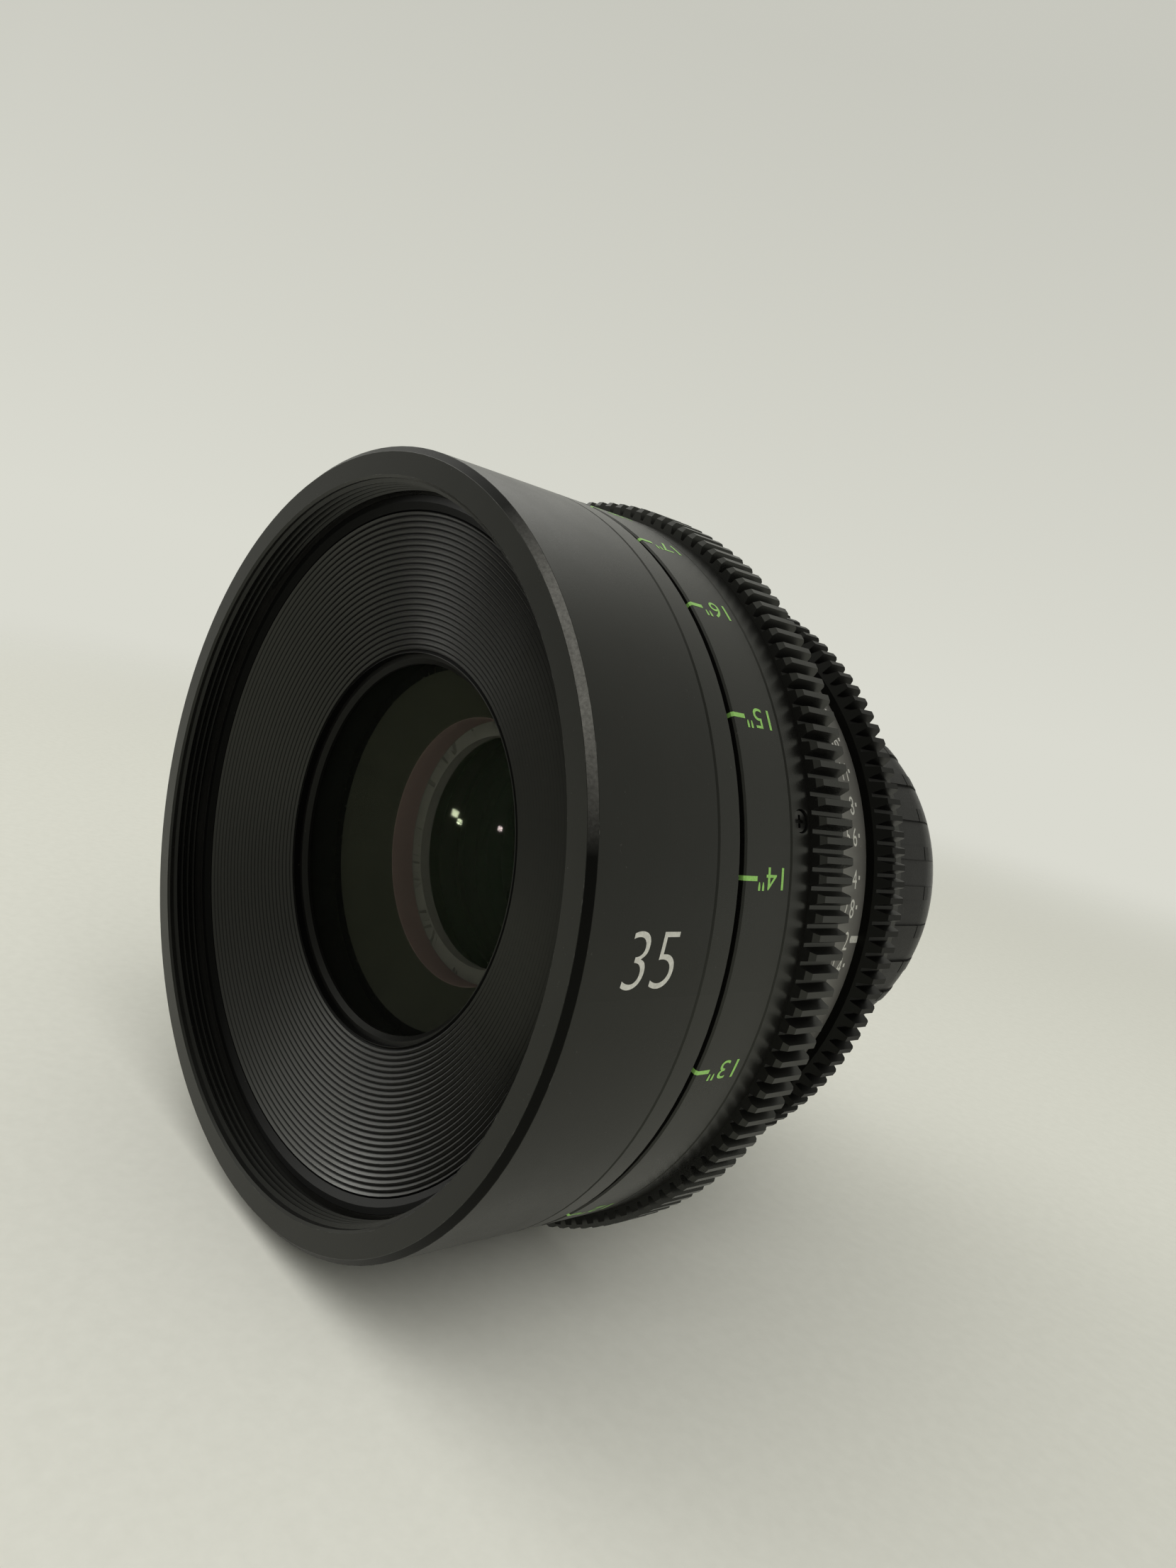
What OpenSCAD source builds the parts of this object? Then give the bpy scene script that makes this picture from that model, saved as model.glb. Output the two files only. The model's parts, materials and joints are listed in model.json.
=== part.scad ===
// Cinema prime lens with geared focus and iris rings, an eleven-blade iris
// and a four-lug camera mount under its rear cap.
//
// Every piece is drawn standing on the mount: z = 0 is the seating face of the mount
// and z grows towards the front glass. along_axis() then lays the lens down,
// so that its front faces -Y and +Z is up.

/* [Barrel] */
// Diameter of the front barrel and of the distance scale
barrel_d = 114; // [106:0.5:122]
// Length of the front barrel
front_len = 20.7; // [19:0.1:26]
// Length of the fixed index ring in front of the distance scale
index_ring_len = 4.1; // [3:0.1:7]
// Width of the open groove between the index ring and the distance scale
scale_groove = 0.97; // [0.5:0.01:1.6]
// Length of the distance scale ring
scale_len = 9.18; // [8:0.01:13]
// Length of the focus gear ring
focus_gear_len = 10.95; // [10:0.05:14]
// Length of the fixed sleeve between the two gear rings
mid_len = 13.95; // [11:0.05:18]
// Diameter of the iris scale ring
iris_d = 95.2; // [92:0.2:101]
// Length of the iris scale ring ahead of its gear
iris_band_len = 6.3; // [6:0.1:10]
// Length of the iris gear ring
iris_gear_len = 5.55; // [5:0.05:8]
// Length of the fixed tail behind the iris gear
rear_len = 20.9; // [19.5:0.1:24]
// Wall of the turning sleeves
sleeve_wall = 3.55; // [3.2:0.05:4.2]
// Wall of the inner tube
tube_wall = 4; // [3.2:0.1:5]
// Bevel of the nose
nose_bevel = 0.95; // [0.4:0.05:2]

/* [Front] */
// Wall between the front diameter and the front thread
front_wall = 4.5; // [3.5:0.1:6]
// Depth of the front thread
thread_depth = 5.8; // [4:0.1:7]
// Fall of the ribbed cone from its rim to its inner edge
baffle_fall = 5.4; // [4:0.1:7]
// Wall of the ribbed cone
baffle_wall = 1.2; // [0.9:0.1:2]
// Number of ribs on the cone
rib_count = 24; // [12:1:30]
// Depth of the grooves between the ribs
rib_depth = 0.45; // [0.2:0.05:0.6]
// Diameter of the opening in the cone
baffle_mouth_d = 59; // [58:0.5:63]
// Diameter of the front glass
front_glass_d = 60; // [56:0.5:64]
// Radius of curvature of the front glass
front_glass_curve = 95; // [70:1:200]

/* [Gears] */
// Tooth module of both gears
gear_module = 0.8; // [0.6:0.05:1]
// Height of the focus gear's tooth roots above the barrel
gear_rim = 0.4; // [0.2:0.05:0.8]
// Tooth width of the focus gear
focus_face = 6.95; // [5:0.05:8]
// Height of the iris gear's tooth roots above the iris scale ring
iris_rim = 1.8; // [1.6:0.05:2.4]
// Height of the iris gear's front lip above the iris scale ring
iris_lip = 1.4; // [0.8:0.05:1.5]

/* [Focus] */
// Turn of the focus ring between its stops, in degrees
focus_turn = 300; // [180:1:320]
// Turn from the infinity stop to the drawn position, in degrees
focus_set = 53; // [0:1:150]
// Travel of the focus group over the whole turn
focus_travel = 5; // [3:0.1:6]
// Diameter of the three guide pins of the focus group
guide_pin_d = 4; // [3:0.1:4.6]
// Diameter of the stop pin of the focus ring
stop_pin_d = 1.8; // [1.4:0.1:2.2]

/* [Iris] */
// Radius of the fully open iris
iris_open_r = 14.3; // [12:0.1:15]
// Radius of the fully closed iris
iris_closed_r = 0.9; // [0.6:0.1:3]
// Turn of the iris ring between its stops, in degrees
iris_turn = 54; // [45:1:60]
// Radius of the circle of blade pivots
pivot_r = 29; // [28:0.1:29.6]
// Width of a blade
blade_w = 8.2; // [7.6:0.1:8.6]
// Thickness of a blade
blade_t = 0.12; // [0.08:0.01:0.14]
// Distance from one blade layer to the next
blade_step = 0.16; // [0.15:0.01:0.2]
// Length of a blade's tail from its pivot to its drive pin
tail_len = 8; // [7.4:0.1:8.2]

/* [Mount] */
// Diameter of the mount's spigot
spigot_d = 54; // [52:0.5:55]
// Length of the spigot behind the seating face
spigot_len = 12; // [9.5:0.5:12]
// Reach of the four lugs beyond the spigot
lug_reach = 6; // [5.5:0.1:7]
// Reach of the mount beyond the spigot, between its lugs
hub_reach = 4; // [3.5:0.1:4.5]
// Thickness of the lugs
lug_t = 3.2; // [2.8:0.1:3.4]
// Width of a lug, in degrees
lug_angle = 56; // [45:1:58]
// Thickness of the back-focus shim
shim_t = 0.3; // [0.1:0.05:0.4]

/* [Rear cap] */
// Wall of the cap's skirt over its grip ribs
cap_wall = 1.7; // [1.4:0.1:3]
// Number of grip ribs
cap_ribs = 30; // [24:1:36]
// Height of the grip ribs
cap_rib_h = 0.45; // [0.2:0.05:0.6]
// Reach of the cap ahead of the seating face
cap_reach = 6; // [5.6:0.1:6.2]
// Length of the grip ring behind the seating face
cap_grip = 12.1; // [8:0.1:14]
// Depth of the cap behind the seating face
cap_depth = 25.2; // [24:0.1:30]
// Edge radius of the domed end
cap_edge_r = 12; // [8:0.5:14]
// Wall of the cap's end
cap_end_wall = 2.4; // [1.8:0.1:3]

/* [Clearances] */
// Radial clearance of a turning or sliding fit
run_clear = 0.05; // [0.03:0.01:0.08]
// Radial clearance between pieces that are fixed together
slip_clear = 0.05; // [0.02:0.01:0.08]
// Clearance between moving pieces that never touch
free_clear = 0.3; // [0.2:0.05:0.4]
// Axial gap at the ends of the iris ring
ring_gap = 0.45; // [0.3:0.05:0.6]
// Small bevel that breaks the outer edges
edge_break = 0.25; // [0.1:0.05:0.35]

/* [Hidden] */
$fn = 144;
// Overlap that lets a cut run clear of the face that it opens
over = 1;

// Places along the axis, from the mount to the front
iris_gear_z = rear_len + ring_gap;
iris_band_z = iris_gear_z + iris_gear_len;
mid_z = iris_band_z + iris_band_len + ring_gap;
focus_gear_z = mid_z + mid_len;
scale_z = focus_gear_z + focus_gear_len;
scale_front_z = scale_z + scale_len;
index_z = scale_front_z + scale_groove;
barrel_z = index_z + index_ring_len;
front_z = barrel_z + front_len;

// Radii of the focus section, from the outside in
barrel_r = barrel_d / 2;
focus_bore_r = barrel_r - sleeve_wall;
land_r = focus_bore_r - run_clear;
skirt_r = barrel_r - 2;
carrier_wall = 3.35;
carrier_r = land_r - free_clear + run_clear;
carrier_bore_r = carrier_r - carrier_wall;
guide_tube_r = carrier_bore_r - free_clear;
guide_bore_r = guide_tube_r - tube_wall;

// Radii of the iris section, from the outside in
iris_r = iris_d / 2;
iris_skirt_r = iris_r - 1.8;
iris_bore_r = iris_r - sleeve_wall;
tail_tube_r = iris_bore_r - run_clear;
tail_bore_r = tail_tube_r - tube_wall;

// Front thread, ribbed cone and front glass
thread_r = barrel_r - front_wall;
thread_mouth_bevel = 0.35;
baffle_z = front_z - thread_depth;
baffle_body_r = thread_r - 1;
baffle_rim_r = thread_r - 1.95;
baffle_bevel = 0.72;
rib_outer_r = baffle_rim_r - 1.28;
rib_inner_r = baffle_mouth_d / 2;
rib_z = baffle_z - baffle_bevel;
baffle_mouth_z = rib_z - baffle_fall;
baffle_rim_t = 3.4;
baffle_seat_r = baffle_rim_r - 0.6;
retainer_z = baffle_mouth_z - baffle_wall;
retainer_t = 1.15;
glass_rim = 2;
front_glass_r = front_glass_d / 2;
glass_z = retainer_z - retainer_t;
front_glass_edge = 6;
front_glass_back_curve = 70;
retainer_bore_r = front_glass_r - glass_rim + 0.1;
retainer_bevel = 0.7;
cell_wall = 3;
cell_flange_t = 2.6;
cell_flange_r = land_r - 3.5;

// Focus bearing lands, carrier pocket and guide slots
front_land = 3.7;
rear_land = 4.4;
pocket_end_clear = 0.55;
mid_flange_t = 1.4;
pocket_z = focus_gear_z + rear_land;
pocket_front_z = scale_front_z - front_land;
carrier_len = pocket_front_z - pocket_z - focus_travel - 2 * pocket_end_clear;
focus_back = focus_travel * focus_set / focus_turn;
focus_ahead = focus_travel - focus_back;
carrier_z = pocket_z + pocket_end_clear + focus_back;
pin_z = carrier_z + carrier_len / 2;
guide_pins = 3;
guide_angle = 90;
guide_bore_z = focus_gear_z + 1.5;

// Focus cell and its glass, placed from the shoulder of the guide bore
focus_cell_wall = 4.4;
focus_cell_r = guide_bore_r - run_clear;
focus_cell_z = guide_bore_z + free_clear + focus_back;
focus_cell_front_z = pin_z + guide_pin_d;
focus_web_t = 2.6;
focus_tube_wall = 3;
focus_tube_front_z = focus_cell_z + focus_web_t + 0.3;
focus_ring_t = 1.5;
focus_ring_z = focus_tube_front_z - focus_ring_t - 0.6;
focus_glass_r = 22;
focus_glass_t = 2.4;
focus_glass_z = focus_ring_z - focus_glass_t;
focus_rear_glass_r = 20;
focus_rear_glass_t = 2.2;
focus_rear_glass_z = focus_glass_z - 5.7;
focus_curve = 70;
focus_rear_front_curve = -120;
focus_rear_back_curve = 80;
seat_lip = 1.4;

// Second and third glass of the front group, placed from the nearest reach of the focus group
group_air = 1.4;
third_glass_r = 20.4;
third_glass_t = 2.4;
third_glass_z = focus_tube_front_z + focus_ahead + group_air;
second_glass_r = 21.4;
second_glass_t = 3;
second_glass_z = third_glass_z + third_glass_t + 1.8;
second_front_curve = 60;
second_back_curve = -150;
third_front_curve = 90;
third_back_curve = -80;

// Stop pin of the focus ring and its groove
stop_z = focus_gear_z + 2.2;
stop_angle = 270;
stop_pin_foot_r = land_r - 3;
stop_groove_r = focus_bore_r + 1.15;
stop_groove_w = stop_pin_d + 2 * free_clear;
stop_margin = atan((stop_pin_d / 2 + free_clear) / focus_bore_r);

// Screws of the focus gear
gear_screws = 3;
gear_screw_angle = 22.2;
gear_screw_z = focus_gear_z + focus_gear_len - 2.2;
gear_screw_d = 1.6;
gear_screw_head_d = 2.8;
gear_screw_head_t = 0.85;
gear_screw_sink = 1.2;
gear_screw_foot_r = focus_bore_r + 0.4;

// Gear teeth
focus_teeth = round((barrel_d + 2 * gear_rim) / gear_module + 2.5);
focus_root_r = gear_module * (focus_teeth - 2.5) / 2;
focus_tip_r = gear_module * (focus_teeth + 2) / 2;
iris_teeth = round((iris_d + 2 * iris_rim) / gear_module + 2.5);
iris_root_r = gear_module * (iris_teeth - 2.5) / 2;
iris_tip_r = gear_module * (iris_teeth + 2) / 2;
iris_front_bevel = 1.7;

// Iris: layers from the drive pin backwards
iris_blades = 11;
blade_pitch = 360 / iris_blades;
drive_pin_d = 2;
drive_z = iris_band_z + iris_band_len / 2;
drive_angle = 90;
drive_rim_t = 3.6;
drive_rim_w = 2.8;
drive_plate_t = 1.2;
iris_layer_gap = 0.15;
drive_ring_z = drive_z - drive_rim_t / 2;
blades_z = drive_ring_z - iris_layer_gap - iris_blades * blade_step;
iris_base_t = 2;
iris_base_z = blades_z - iris_layer_gap - iris_base_t;
iris_rim_w = 3;
iris_housing_r = tail_bore_r - slip_clear;
drive_ring_r = iris_housing_r - iris_rim_w - run_clear;
iris_cover_z = drive_ring_z + drive_rim_t + free_clear;
iris_cover_t = 1.2;
drive_pin_head_d = 3.2;
drive_pin_head_t = 1.2;
drive_window_w = drive_pin_d + 2 * free_clear;
drive_margin = atan((drive_pin_d / 2 + free_clear) / (drive_ring_r - 0.5));

// Iris blade: swing, pins and outline
blade_swing = 2 * asin((iris_open_r - iris_closed_r) / (2 * pivot_r));
tail_angle = -90 - blade_swing / 2;
blade_end = 100;
blade_start = 6;
neck_angle = 14;
neck_r = iris_open_r + blade_w - 1.5;
neck_half_w = 1.7;
tail_half_w = 1.15;
pivot_pin_r = 0.6;
tail_pin_r = 0.5;
slot_clear = 0.15;
slot_steps = 24;
slot_overrun = 1;

// Mount, tail and rear group
spigot_r = spigot_d / 2;
hub_r = spigot_r + hub_reach;
spigot_wall = 2.4;
lug_r = spigot_r + lug_reach;
lugs = 4;
notch_w = 3.2;
notch_depth = 2.4;
neck_z = lug_t + shim_t;
neck_len = 3.3;
neck_bore_r = hub_r - 3;
tail_nose_r = hub_r + 9;
tail_seat_z = neck_z + neck_len + 6.4;
tail_cone_z = neck_z + neck_len + 0.7;
tail_shoulder_z = tail_seat_z + 1.3;
tail_r = iris_r - 1.5;
main_end_gap = 0.3;
mount_screw_r = (spigot_r + hub_r) / 2 + 0.5;
mount_screw_d = 1.9;
mount_screw_head_d = 3.6;
mount_screw_head_t = 1.5;
mount_screw_reach = neck_z + neck_len - 0.4;
rear_tube_r = spigot_r - spigot_wall - free_clear;
rear_tube_wall = 3;
rear_glass_r = rear_tube_r - rear_tube_wall - slip_clear;
rear_tube_front_z = tail_seat_z + 9;
rear_tube_end_z = 2.8 - spigot_len;
rear_flange_t = 2.8;
rear_front_glass_t = 2.5;
rear_front_glass_z = rear_tube_front_z - 4.7;
rear_middle_glass_t = 2.5;
rear_middle_glass_z = 2.5;
rear_glass_t = 2;
rear_ring_t = 1.6;
rear_glass_z = rear_tube_end_z + rear_ring_t + 0.6;
rear_front_curve = -60;
rear_front_back_curve = 48;
rear_middle_curve = 55;
rear_middle_back_curve = 120;
rear_curve = 70;
rear_back_curve = -90;

// Rear cap
cap_skirt_bore_r = lug_r + 0.5;
cap_r = cap_skirt_bore_r + cap_wall;
cap_ring_r = cap_r - cap_rib_h;
cap_dome_r = cap_ring_r - 0.45;
cap_edge_z = cap_depth - cap_edge_r;
cap_rib_angle = 4;
cap_rib_turn = -1.2;
cap_shoulder_r = hub_r + 0.5;
cap_cavity_r = cap_shoulder_r - 2;
cap_sleeve_wall = 1.5;
cap_sleeve_lap = 4.8;
cap_tab_angle = 24;
cap_tab_t = 2;

// Colours
black_metal = [0.09, 0.09, 0.09];
grey_metal = [0.42, 0.42, 0.41];
dull_black = [0.05, 0.05, 0.05];
steel = [0.72, 0.72, 0.7];
brass = [0.72, 0.58, 0.32];
glass_tint = [0.55, 0.68, 0.6, 0.5];
cap_black = [0.14, 0.14, 0.14];

// Depth of a spherical surface of radius curve over a circle of radius r
function sag(curve, r) = curve - sqrt(curve * curve - r * r);
// Point at radius r and angle a
function polar(r, a) = [r * cos(a), r * sin(a)];
// Where a blade's drive pin stands when the blade has swung by b, for the blade whose pivot is at angle 0
function tail_pin(b) = [pivot_r, 0] + polar(tail_len, tail_angle + b);
// The same point seen from the drive ring, which turns by iris_turn while a blade swings by blade_swing
function slot_point(share) =
    let (p = tail_pin(share * blade_swing))
    polar(norm(p), atan2(p[1], p[0]) - share * iris_turn);
function unit(v) = v / norm(v);
function left_of(v) = [-v[1], v[0]];
// Distance from the pivot slot's middle line to its walls
slot_half_w = tail_pin_r + slot_clear;

module along_axis() rotate([90, 0, 0]) children();

module revolve(profile) rotate_extrude() polygon(profile);

// Plain ring from z0 to z1
module ring(r_out, r_in, z0, z1) revolve([[r_in, z0], [r_out, z0], [r_out, z1], [r_in, z1]]);

// Cylinder that points outwards at angle a and height z, from radius r0 to r1
module radial_cylinder(a, z, d, r0, r1)
    rotate([0, 0, a]) translate([r0, 0, z]) rotate([0, 90, 0]) cylinder(d = d, h = r1 - r0, $fn = 32);

// Part of a ring between two angles, as a cutter
module arc_cut(a0, a1, r0, r1, z0, z1)
    rotate([0, 0, a0]) rotate_extrude(angle = a1 - a0) polygon([[r0, z0], [r1, z0], [r1, z1], [r0, z1]]);

// Round-ended slot along the axis, cut from radius r0 to r1
module axial_slot(a, z0, z1, w, r0, r1) {
    radial_cylinder(a, z0 + w / 2, w, r0, r1);
    radial_cylinder(a, z1 - w / 2, w, r0, r1);
    rotate([0, 0, a]) translate([r0, -w / 2, z0 + w / 2]) cube([r1 - r0, w, z1 - z0 - w]);
}

// Glass element with a flat rim. A positive curve bulges out of its side, a negative one is hollow.
module glass(r, z, t, front_curve, back_curve) {
    clear_r = r - glass_rim;
    color(glass_tint) difference() {
        union() {
            translate([0, 0, z]) cylinder(r = r, h = t);
            if (front_curve > 0) glass_cap(clear_r, z + t, front_curve);
            if (back_curve > 0) mirror_at(z) glass_cap(clear_r, z, back_curve);
        }
        if (front_curve < 0) mirror_at(z + t) glass_cap(clear_r, z + t, -front_curve);
        if (back_curve < 0) glass_cap(clear_r, z, -back_curve);
    }
}

module mirror_at(z) translate([0, 0, z]) mirror([0, 0, 1]) translate([0, 0, -z]) children();

// Spherical cap of base radius r that stands on the plane z
module glass_cap(r, z, curve) {
    height = sag(curve, r);
    intersection() {
        translate([0, 0, z]) cylinder(r = curve, h = height);
        translate([0, 0, z + height - curve]) sphere(r = curve);
    }
}

// Outline of a spur gear with straight flanks
module gear_outline(teeth, root_r, tip_r) {
    pitch = 360 / teeth;
    root_half = 0.39 * pitch;
    tip_half = 0.17 * pitch;
    polygon([
        for (i = [0 : teeth - 1])
            for (corner = [[root_r, -root_half], [tip_r, -tip_half], [tip_r, tip_half], [root_r, root_half]])
                polar(corner[0], i * pitch + corner[1])
    ]);
}

// Cross-head screw along -x, with its head's top at x = 0
module cross_screw(head_d, head_t, shank_d, length) {
    cross_w = head_d * 0.16;
    cross_l = head_d * 0.62;
    cross_depth = head_t * 0.5;
    rotate([0, 90, 0]) difference() {
        union() {
            translate([0, 0, -head_t]) cylinder(d = head_d, h = head_t, $fn = 32);
            translate([0, 0, -length]) cylinder(d = shank_d, h = length - head_t / 2, $fn = 32);
        }
        for (a = [0, 90])
            rotate([0, 0, a]) translate([-cross_l / 2, -cross_w / 2, -cross_depth])
                cube([cross_l, cross_w, cross_depth + over]);
    }
}

// Front barrel and front group

module front_barrel() color(black_metal) along_axis() revolve([
    [thread_r + thread_mouth_bevel, front_z], [barrel_r - nose_bevel, front_z],
    [barrel_r, front_z - nose_bevel], [barrel_r, barrel_z + edge_break],
    [barrel_r - edge_break, barrel_z], [land_r + slip_clear, barrel_z],
    [land_r + slip_clear, retainer_z + free_clear], [baffle_seat_r, retainer_z + free_clear],
    [baffle_seat_r, baffle_z - baffle_rim_t], [baffle_body_r + slip_clear, baffle_z - baffle_rim_t],
    [baffle_body_r + slip_clear, baffle_z], [thread_r, baffle_z],
    [thread_r, front_z - thread_mouth_bevel]
]);

module front_baffle() {
    rib_pitch = (rib_outer_r - rib_inner_r) / rib_count;
    fall = baffle_fall / rib_count;
    color(dull_black) along_axis() revolve(concat(
        [
            [rib_inner_r, retainer_z], [rib_outer_r - 2, rib_z - baffle_wall - rib_depth],
            [baffle_seat_r - 1, baffle_z - baffle_rim_t], [baffle_body_r, baffle_z - baffle_rim_t],
            [baffle_body_r, baffle_z], [baffle_rim_r, baffle_z],
            [rib_outer_r + 0.3, rib_z], [rib_outer_r + 0.3, rib_z - rib_depth]
        ],
        [
            for (i = [0 : rib_count - 1], corner = [[0, 0], [0.55, rib_depth]])
                [rib_outer_r - (i + corner[0]) * rib_pitch, rib_z - (i + corner[0]) * fall - corner[1]]
        ],
        [[rib_inner_r, baffle_mouth_z]]
    ));
}

module front_retaining_ring() color(dull_black) along_axis() revolve([
    [retainer_bore_r + retainer_bevel, retainer_z], [front_glass_r + slip_clear, retainer_z],
    [front_glass_r + slip_clear, glass_z], [retainer_bore_r, glass_z],
    [retainer_bore_r, retainer_z - retainer_bevel]
]);

module front_element() along_axis()
    glass(front_glass_r, glass_z - front_glass_edge, front_glass_edge,
        front_glass_curve, -front_glass_back_curve);

module second_element() along_axis()
    glass(second_glass_r, second_glass_z, second_glass_t, second_front_curve, second_back_curve);

module third_element() along_axis()
    glass(third_glass_r, third_glass_z, third_glass_t, third_front_curve, third_back_curve);

module front_group_cell() {
    glass_seat_z = glass_z - front_glass_edge;
    bore_r = front_glass_r + 2 * slip_clear;
    second_bore_r = second_glass_r + slip_clear;
    third_bore_r = third_glass_r + slip_clear;
    second_front_z = second_glass_z + second_glass_t;
    lip_r = third_glass_r - seat_lip;
    cell_r = bore_r + cell_wall;
    tail_r = second_bore_r + cell_wall;
    tail_z = third_glass_z - 0.8;
    color(dull_black) along_axis() revolve([
        [bore_r, retainer_z], [cell_flange_r, retainer_z], [cell_flange_r, retainer_z - cell_flange_t],
        [cell_r, retainer_z - cell_flange_t], [cell_r, second_front_z], [tail_r, second_front_z],
        [tail_r, tail_z], [third_bore_r, tail_z], [third_bore_r, third_glass_z + third_glass_t],
        [lip_r, third_glass_z + third_glass_t], [lip_r, second_glass_z], [second_bore_r, second_glass_z],
        [second_bore_r, second_front_z + 1.2], [front_glass_r - glass_rim + 0.2, glass_seat_z],
        [bore_r, glass_seat_z]
    ]);
}

// Fixed barrel

module focus_index_ring() color(black_metal) along_axis() revolve([
    [land_r + slip_clear, index_z], [barrel_r - edge_break, index_z], [barrel_r, index_z + edge_break],
    [barrel_r, barrel_z - edge_break], [barrel_r - edge_break, barrel_z], [land_r + slip_clear, barrel_z]
]);

module main_barrel() color(dull_black) along_axis() difference() {
    revolve([
        [tail_bore_r, tail_seat_z + main_end_gap], [tail_tube_r, tail_seat_z + main_end_gap],
        [tail_tube_r, focus_gear_z], [guide_tube_r, focus_gear_z], [guide_tube_r, pocket_front_z],
        [land_r, pocket_front_z], [land_r, retainer_z], [cell_flange_r + slip_clear, retainer_z],
        [cell_flange_r + slip_clear, retainer_z - cell_flange_t], [guide_bore_r, retainer_z - cell_flange_t],
        [guide_bore_r, guide_bore_z], [tail_bore_r, guide_bore_z]
    ]);
    slot_w = guide_pin_d + 2 * run_clear;
    slot_end = guide_pin_d / 2 + free_clear;
    for (i = [0 : guide_pins - 1])
        axial_slot(guide_angle + i * 360 / guide_pins, pin_z - focus_back - slot_end,
            pin_z + focus_ahead + slot_end, slot_w, guide_bore_r - over, guide_tube_r + over);
    arc_cut(drive_angle - drive_margin, drive_angle + iris_turn + drive_margin, tail_bore_r - over,
        tail_tube_r + over, drive_z - drive_window_w / 2, drive_z + drive_window_w / 2);
}

module mid_barrel() color(black_metal) along_axis() difference() {
    flange_z = focus_gear_z - mid_flange_t;
    revolve([
        [tail_tube_r + slip_clear, mid_z], [iris_r - edge_break, mid_z], [iris_r, mid_z + edge_break],
        [iris_r, flange_z - edge_break], [iris_r + edge_break, flange_z],
        [land_r, flange_z], [land_r, pocket_z], [guide_tube_r + slip_clear, pocket_z],
        [guide_tube_r + slip_clear, focus_gear_z], [tail_tube_r + slip_clear, focus_gear_z]
    ]);
    radial_cylinder(stop_angle, stop_z, stop_pin_d + 2 * slip_clear, stop_pin_foot_r, land_r + over);
}

module focus_stop_pin() color(steel) along_axis()
    radial_cylinder(stop_angle, stop_z, stop_pin_d, stop_pin_foot_r, stop_groove_r - free_clear);

module rear_barrel() color(black_metal) along_axis() difference() {
    revolve([
        [neck_bore_r, neck_z], [hub_r, neck_z], [hub_r, neck_z + neck_len], [tail_nose_r, neck_z + neck_len],
        [tail_nose_r, tail_cone_z], [tail_r, tail_shoulder_z], [tail_r, rear_len - edge_break],
        [tail_r - edge_break, rear_len], [tail_tube_r + slip_clear, rear_len],
        [tail_tube_r + slip_clear, tail_seat_z], [tail_nose_r - 1, tail_seat_z],
        [neck_bore_r, neck_z + neck_len + 2]
    ]);
    mount_screw_places() translate([0, 0, -over])
        cylinder(d = mount_screw_d + 2 * slip_clear, h = mount_screw_reach + over, $fn = 32);
}

// Mount

module mount_screw_places()
    for (i = [0 : lugs - 1]) rotate([0, 0, i * 360 / lugs]) translate([mount_screw_r, 0, 0]) children();

module mount_shim() color(brass) along_axis() difference() {
    ring(hub_r, neck_bore_r, lug_t, neck_z);
    mount_screw_places() cylinder(d = mount_screw_d + 2 * slip_clear, h = neck_z + over, $fn = 32);
}

module mount_outline() {
    far = 2 * lug_r;
    circle(r = hub_r);
    intersection() {
        circle(r = lug_r);
        for (i = [0 : lugs - 1])
            rotate(i * 360 / lugs) polygon([[0, 0], polar(far, -lug_angle / 2), polar(far, lug_angle / 2)]);
    }
}

module lens_mount() color(steel) along_axis() difference() {
    union() {
        linear_extrude(lug_t) mount_outline();
        translate([0, 0, -spigot_len]) cylinder(r = spigot_r, h = spigot_len + over);
    }
    translate([0, 0, -spigot_len - over])
        cylinder(r = spigot_r - spigot_wall, h = spigot_len + lug_t + 2 * over);
    mount_screw_places() {
        translate([0, 0, -over]) cylinder(d = mount_screw_d + 2 * slip_clear, h = lug_t + 2 * over, $fn = 32);
        translate([0, 0, -over]) cylinder(d = mount_screw_head_d + 2 * slip_clear,
            h = mount_screw_head_t + 2 * slip_clear + over, $fn = 32);
    }
    rotate([0, 0, 90]) translate([lug_r - notch_depth, -notch_w / 2, -over])
        cube([notch_depth + over, notch_w, lug_t + 2 * over]);
}

module mount_screws() color(steel) along_axis() mount_screw_places()
    translate([0, 0, slip_clear]) rotate([0, 90, 0])
        cross_screw(mount_screw_head_d, mount_screw_head_t, mount_screw_d,
            mount_screw_reach - 3 * slip_clear);

// Rear glass group

module rear_group_cell() {
    bore_r = rear_glass_r + slip_clear;
    lip_r = rear_glass_r - seat_lip;
    flange_r = tail_bore_r - slip_clear;
    flange_z = tail_seat_z + main_end_gap;
    flange_front_z = flange_z + rear_flange_t;
    middle_seat_z = rear_middle_glass_z + rear_middle_glass_t;
    color(dull_black) along_axis() revolve([
        [bore_r, rear_tube_end_z], [rear_tube_r, rear_tube_end_z], [rear_tube_r, flange_z],
        [flange_r, flange_z], [flange_r, flange_front_z], [rear_tube_r, flange_front_z],
        [rear_tube_r, rear_tube_front_z], [bore_r, rear_tube_front_z], [bore_r, rear_front_glass_z],
        [lip_r, rear_front_glass_z], [lip_r, middle_seat_z], [bore_r, middle_seat_z]
    ]);
}

module rear_group_front_element() along_axis()
    glass(rear_glass_r, rear_front_glass_z, rear_front_glass_t, rear_front_curve, rear_front_back_curve);

module rear_group_middle_element() along_axis()
    glass(rear_glass_r, rear_middle_glass_z, rear_middle_glass_t, rear_middle_curve, rear_middle_back_curve);

module rear_element() along_axis()
    glass(rear_glass_r, rear_glass_z, rear_glass_t, rear_curve, rear_back_curve);

module rear_retaining_ring() color(dull_black) along_axis()
    ring(rear_glass_r, rear_glass_r - seat_lip, rear_glass_z - rear_ring_t, rear_glass_z);

// Focus ring

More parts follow.
